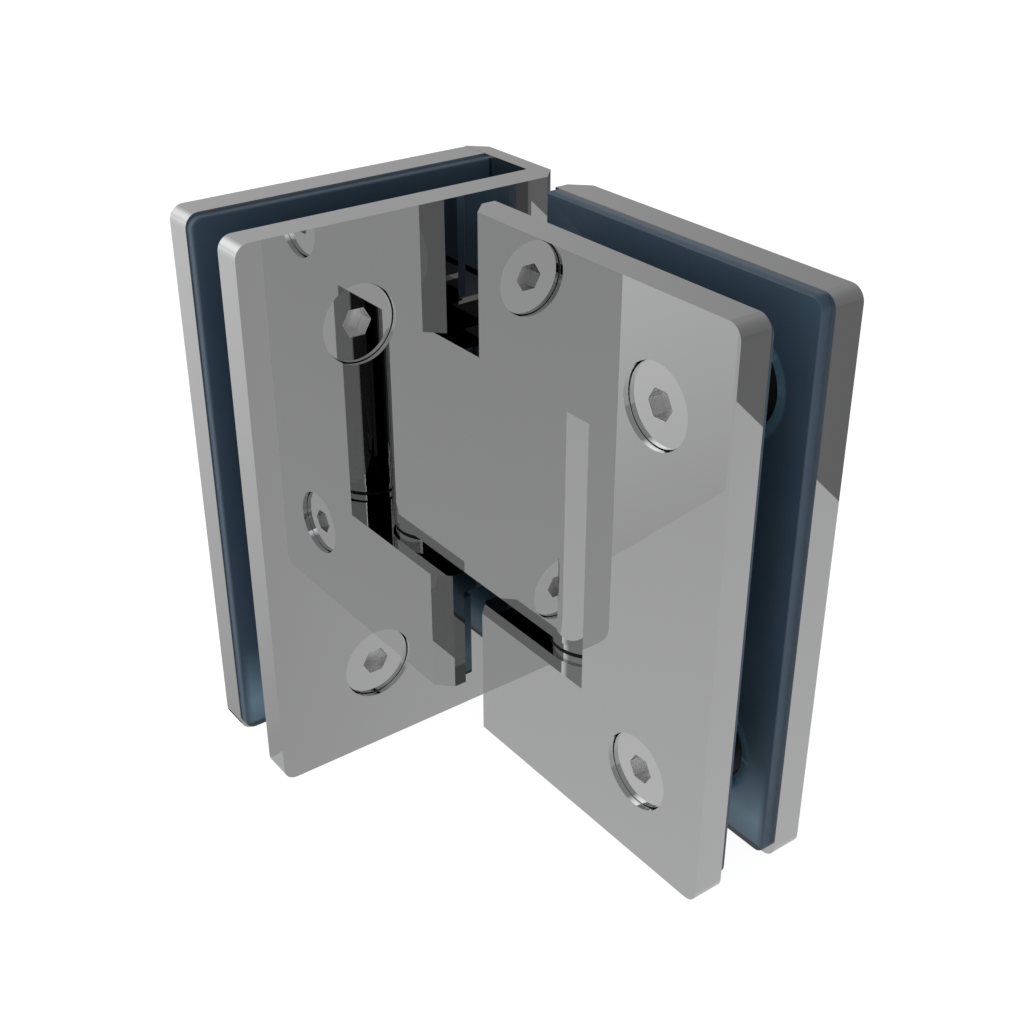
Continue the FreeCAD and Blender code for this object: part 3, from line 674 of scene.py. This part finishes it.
low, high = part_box("door_sleeve_upper")
length = (high - low).y
neck = (high - low).z / 2
bpy.ops.mesh.primitive_cylinder_add(vertices=ROUND_STEPS, radius=FLANGE, depth=FLANGE_THICK,
                                    location=(0, 0, -FLANGE_THICK / 2))
sleeve = bpy.context.active_object
pick(sleeve, looks_down)
bpy.ops.mesh.inset(thickness=FLANGE - neck)
extrude((0, 0, 2 * FLANGE_THICK - length))
extrude((0, 0, 0))
bpy.ops.transform.resize(value=(FLANGE / neck, FLANGE / neck, 1))
extrude((0, 0, -FLANGE_THICK))
close_up()
drill(sleeve, Vector((0, 0, PAST)), Euler(), BORE, length + 2 * PAST)
soften(sleeve, SLEEVE_EDGE, SMOOTH_TURNED)
copy_to_places(sleeve, "sleeve", "spool", {"fixed": nylon, "door": nylon})

# %% [markdown]
# A clamp screw is a flat disc of a head with a hexagon socket, and a threaded shank that
# nobody sees until the hinge is taken apart. The disc is a cylinder at the head's size. Its
# under face is inset to the shank's radius and extruded down to the tip, where a last inset
# makes the chamfer. The socket is cut with a six-sided cylinder. A finished screw could come
# from one profile swept round, but then the socket would still have to be cut.

# %% Model the screw's head and shank
HEAD_HEIGHT = 2.5 * MM
HEAD_STEPS = 128
HEAD_EDGE = 0.08 * MM
SHANK = 2.6 * MM
TIP_CHAMFER = 0.6 * MM
SOCKET_FLATS = 4.0 * MM
SOCKET_DEPTH = 2.4 * MM

low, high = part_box("door_screw_upper")
length = (high - low).y
head_radius = (high - low).z / 2
bpy.ops.mesh.primitive_cylinder_add(vertices=HEAD_STEPS, radius=head_radius, depth=HEAD_HEIGHT,
                                    location=(0, 0, -HEAD_HEIGHT / 2))
screw = bpy.context.active_object
pick(screw, looks_down)
bpy.ops.mesh.inset(thickness=head_radius - SHANK)
extrude((0, 0, HEAD_HEIGHT + TIP_CHAMFER - length))
bpy.ops.mesh.inset(thickness=TIP_CHAMFER, depth=TIP_CHAMFER)
bpy.ops.object.mode_set(mode="OBJECT")
deep = SOCKET_DEPTH + 2 * PAST
bpy.ops.mesh.primitive_cylinder_add(vertices=6, radius=SOCKET_FLATS / math.sqrt(3), depth=deep,
                                    location=(0, 0, 2 * PAST - deep / 2),
                                    rotation=(0, 0, math.radians(30)))
cut(screw, bpy.context.active_object)
print("screw length:", length, "head radius:", head_radius)

# %% [markdown]
# The thread is a ridge that winds down the shank. Its cross-section, a small triangle with
# its root sunk in the shank, is a circle of three points, drawn beside the axis. The Screw
# modifier sweeps it round and down at once, one pitch for each turn. Both ends are filled, so
# the ridge is closed, and the ridge is joined to the blank.

# %% Model the thread
THREAD_RADIUS = 3.0 * MM
THREAD_STEPS = 24
ROOT = SHANK - 0.1 * MM
ROOT_HALF = 0.45
PITCH = 1.0 * MM
PLAIN_SHANK = 4.0 * MM

turns = math.floor((length - HEAD_HEIGHT - PLAIN_SHANK - TIP_CHAMFER) / PITCH) - 1
bpy.ops.mesh.primitive_circle_add(vertices=3, radius=THREAD_RADIUS - ROOT,
                                  location=(0, 0, -(HEAD_HEIGHT + PLAIN_SHANK)))
ridge = bpy.context.active_object
corners = ((THREAD_RADIUS, 0), (ROOT, ROOT_HALF * PITCH), (ROOT, -ROOT_HALF * PITCH))
for point, (out, rise) in zip(ridge.data.vertices, corners):
    point.co = (out, 0, rise)
apply(ridge, "SCREW", axis="Z", angle=2 * math.pi, screw_offset=-PITCH, iterations=turns,
      steps=THREAD_STEPS, render_steps=THREAD_STEPS, use_merge_vertices=True)
bpy.ops.object.mode_set(mode="EDIT")
bpy.ops.mesh.select_mode(type="EDGE")
bpy.ops.mesh.select_all(action="DESELECT")
bpy.ops.mesh.select_non_manifold()
bpy.ops.mesh.fill()
close_up()
print("turns of thread:", turns)

# %% Join and place the four screws
apply(screw, "BEVEL", width=HEAD_EDGE, segments=2, limit_method="ANGLE", angle_limit=SHARP)
only(screw)
ridge.select_set(True)
bpy.ops.object.join()
bpy.ops.object.shade_smooth_by_angle(angle=SMOOTH_TURNED)
copy_to_places(screw, "screw", "turned", screw_steel)

# %% [markdown]
# Polished metal has no look of its own: it shows the room. A room of real panels and lamps
# could stand round the hinge, but it would have to be hidden from the camera, and its light
# would be slow to balance. Here the studio is painted on the world by direction. The numbers
# are brightness, where 1 is white. Panels are straight, so a panel's lower edge is a line,
# which fixes its slope in each direction.

# %% Directions in the studio
world = bpy.data.worlds.new("studio")
bpy.context.scene.world = world
world.use_nodes = True
world.node_tree.nodes.clear()
sky = Wire(world.node_tree)
x, y, z = sky.node("ShaderNodeTexCoord", output="Generated").axes()
flat = sky.math("SQRT", x * x + y * y)
slope = z / flat
down = slope * -1
azimuth = sky.math("ARCTAN2", y, x) * (180 / math.pi)


def edge_slope(height, toward):
    """The slope of a panel's straight lower edge, which faces a compass direction."""
    angle = math.radians(toward)
    return (x * math.cos(angle) + y * math.sin(angle)) / flat * height


# %% [markdown]
# Below the horizon lies a mid grey ground that gets lighter straight down. To the east it is
# darker for a stretch, as a floor is where less light falls on it.

# %% The ground
GROUND = (0.435, 0.55)
GROUND_SLOPES = (0.36, 1.18)
EAST_DIP = 0.23
EAST_DIP_FROM = (0, 20)
EAST_RISE = 0.28
EAST_RISE_FROM = (24, 48)
ground = down.share(*GROUND_SLOPES).between(*GROUND)
east = 1 - azimuth.share(*EAST_DIP_FROM) * EAST_DIP + azimuth.share(*EAST_RISE_FROM) * EAST_RISE
level = ground * east

# %% [markdown]
# A pale panel hangs in the west, to the left of the camera, and a dark one in the north,
# behind the hinge. The pale one fades downwards and to its right, and the dark one gives the
# chrome its deep tones. A panel that ends at the seam, where the compass starts again, needs
# a test on both sides of it.

# %% The two panels
WEST = 0.865
WEST_MIDDLE = -160
WEST_PER_SLOPE = 0.608
WEST_PER_DEGREE = 0.0044
WEST_EDGE = (-0.966, -190)
WEST_RIGHT_END = -133.8
NORTH = (0.118, 0.158)
NORTH_RISE_FROM = (20, 50)
NORTH_FALL = 0.073
NORTH_FALL_FROM = (50, 120)
NORTH_EDGE = (-1.04, 110)
NORTH_RIGHT_END = 20
SEAM = 170

west = WEST - down * WEST_PER_SLOPE - (azimuth - WEST_MIDDLE) * WEST_PER_DEGREE
across_west = (azimuth * -1 > -WEST_RIGHT_END) + (azimuth > SEAM)
level = ((slope > edge_slope(*WEST_EDGE)) * across_west).between(level, west)
north = azimuth.share(*NORTH_RISE_FROM).between(*NORTH)
north = north - azimuth.share(*NORTH_FALL_FROM) * NORTH_FALL
across_north = (azimuth > NORTH_RIGHT_END) * (1 - (azimuth > SEAM))
level = ((slope > edge_slope(*NORTH_EDGE)) * across_north).between(level, north)

# %% [markdown]
# The ceiling is grey, brighter towards the pale panel, and starts just above the horizon. A
# soft lamp shines from the upper left. It is the only thing brighter than white, and it
# draws the highlights on the rounded corners.

# %% The ceiling and the lamp
CEILING = (0.285, 0.47)
CEILING_RISE_FROM = (128, 158)
CEILING_DIP = 0.12
CEILING_DIP_FROM = (-10, 40)
CEILING_DIP_TO = (40, 110)
CEILING_SLOPES = (0.05, 0.15)
LAMP = Vector((-0.699, -0.489, 0.521)).normalized()
LAMP_STRENGTH = 1.15
LAMP_SPREAD = (0.82, 0.98)

ceiling = azimuth.share(*CEILING_RISE_FROM).between(*CEILING)
ceiling = ceiling - azimuth.share(*CEILING_DIP_FROM) * CEILING_DIP
ceiling = ceiling + azimuth.share(*CEILING_DIP_TO) * CEILING_DIP
level = slope.share(*CEILING_SLOPES).between(level, ceiling)
toward_lamp = x * LAMP.x + y * LAMP.y + z * LAMP.z
level = toward_lamp.share(*LAMP_SPREAD).between(level, LAMP_STRENGTH)

# %% [markdown]
# Each kind of ray gets its own answer from the same studio. The camera sees plain white
# behind the hinge, and so would rays through glass. Mirror rays could see the white too, but
# then plates and background would run together: in the photograph the chrome shows no white,
# so mirror rays get the studio as painted. In the gaps between two mirrors the photograph is
# darker than a painted room can make it, because real light has further to go there, so rays
# mirrored three times and more are dimmed. All other rays light the plain colours, and for
# them the studio is raised, until a colour on an open face comes out about as it is written.

# %% Light for each kind of ray
PLAIN_LIGHT = 2.1
THIRD_MIRROR = 2.5
THIRD_DIMMING = 0.5
FIFTH_MIRROR = 4.5
FIFTH_DIMMING = 0.44
HORIZON = (-0.05, 0.05)
path = {name: sky.node("ShaderNodeLightPath", output=name)
        for name in ("Is Camera Ray", "Is Transmission Ray", "Is Glossy Ray", "Glossy Depth")}
below = 1 - slope.share(*HORIZON)
mirrors = path["Glossy Depth"]
dimming = (mirrors > THIRD_MIRROR) * THIRD_DIMMING + (mirrors > FIFTH_MIRROR) * FIFTH_DIMMING
mirrored = level * (1 - dimming * below)
light = path["Is Glossy Ray"].between(level * PLAIN_LIGHT, mirrored)
white = path["Is Camera Ray"] + path["Is Transmission Ray"]
values = {"Color": (1, 1, 1, 1), "Strength": white.share(0, 1).between(light, 1.0)}
glow = sky.node("ShaderNodeBackground", None, values)
sky.node("ShaderNodeOutputWorld", None, {"Surface": glow}, output=None)
print("nodes in the studio:", len(world.node_tree.nodes))

# %% [markdown]
# The hinge stands on a plain pale floor. To the camera it is white and keeps only a soft
# shadow: a glow carries most of the white, and a diffuse part adds the shadow. Mirrors look
# through it into the studio, or their lower halves would show nothing but white. On the plain
# colours it acts as a light table, which brightens the lower ends of the gaskets from below.

# %% The floor
FLOOR_SIZE = 3.0
FLOOR_UNDER = 0.02 * MM
FLOOR_LIGHT = 1.1
FLOOR_GLOW = 0.95
FLOOR_SHADOW = (0.16, 0.16, 0.16, 1)
bpy.ops.mesh.primitive_plane_add(size=FLOOR_SIZE, location=(0, 0, cad_box[0][2] - FLOOR_UNDER))
floor = bpy.context.active_object
floor.name = "floor"
floor_paint = bpy.data.materials.new("pale_floor")
floor_paint.use_nodes = True
floor_paint.node_tree.nodes.clear()
paint = Wire(floor_paint.node_tree)
table = paint.node("ShaderNodeEmission", None, {"Strength": FLOOR_LIGHT})
glow = paint.node("ShaderNodeEmission", None, {"Strength": FLOOR_GLOW})
shadow = paint.node("ShaderNodeBsdfDiffuse", None, {"Color": FLOOR_SHADOW})
shown = paint.node("ShaderNodeAddShader", None, {0: glow, 1: shadow})
clear = paint.node("ShaderNodeBsdfTransparent")
to_camera = paint.node("ShaderNodeLightPath", output="Is Camera Ray")
to_mirror = paint.node("ShaderNodeLightPath", output="Is Glossy Ray")
surface = paint.node("ShaderNodeMixShader", None, {0: to_camera, 1: table, 2: shown})
surface = paint.node("ShaderNodeMixShader", None, {0: to_mirror, 1: surface, 2: clear})
paint.node("ShaderNodeOutputMaterial", None, {"Surface": surface}, output=None)
floor.data.materials.append(floor_paint)

# %% [markdown]
# The camera stands where the photographer's stood: in front of the inner corner, looking
# down at the hinge. Its place comes from matching the plates' edges with the picture. The
# near clipping is small, because the camera stands only some 24 cm away.

# %% Camera
CAMERA_AT = Vector((150.203, -108.439, 153.827)) * MM
LOOK = Vector((-0.69786, 0.52125, -0.49121))
SENSOR_WIDTH = 36
LENS = 51.387
NEAR = 10 * MM
camera_data = bpy.data.cameras.new("camera")
camera = bpy.data.objects.new("camera", camera_data)
bpy.context.scene.collection.objects.link(camera)
camera.location = CAMERA_AT
camera.rotation_euler = LOOK.to_track_quat("-Z", "Y").to_euler()
camera_data.sensor_width = SENSOR_WIDTH
camera_data.lens = LENS
camera_data.clip_start = NEAR
bpy.context.scene.camera = camera
bpy.context.scene.view_settings.view_transform = "Standard"
print("camera to the origin:", CAMERA_AT.length)
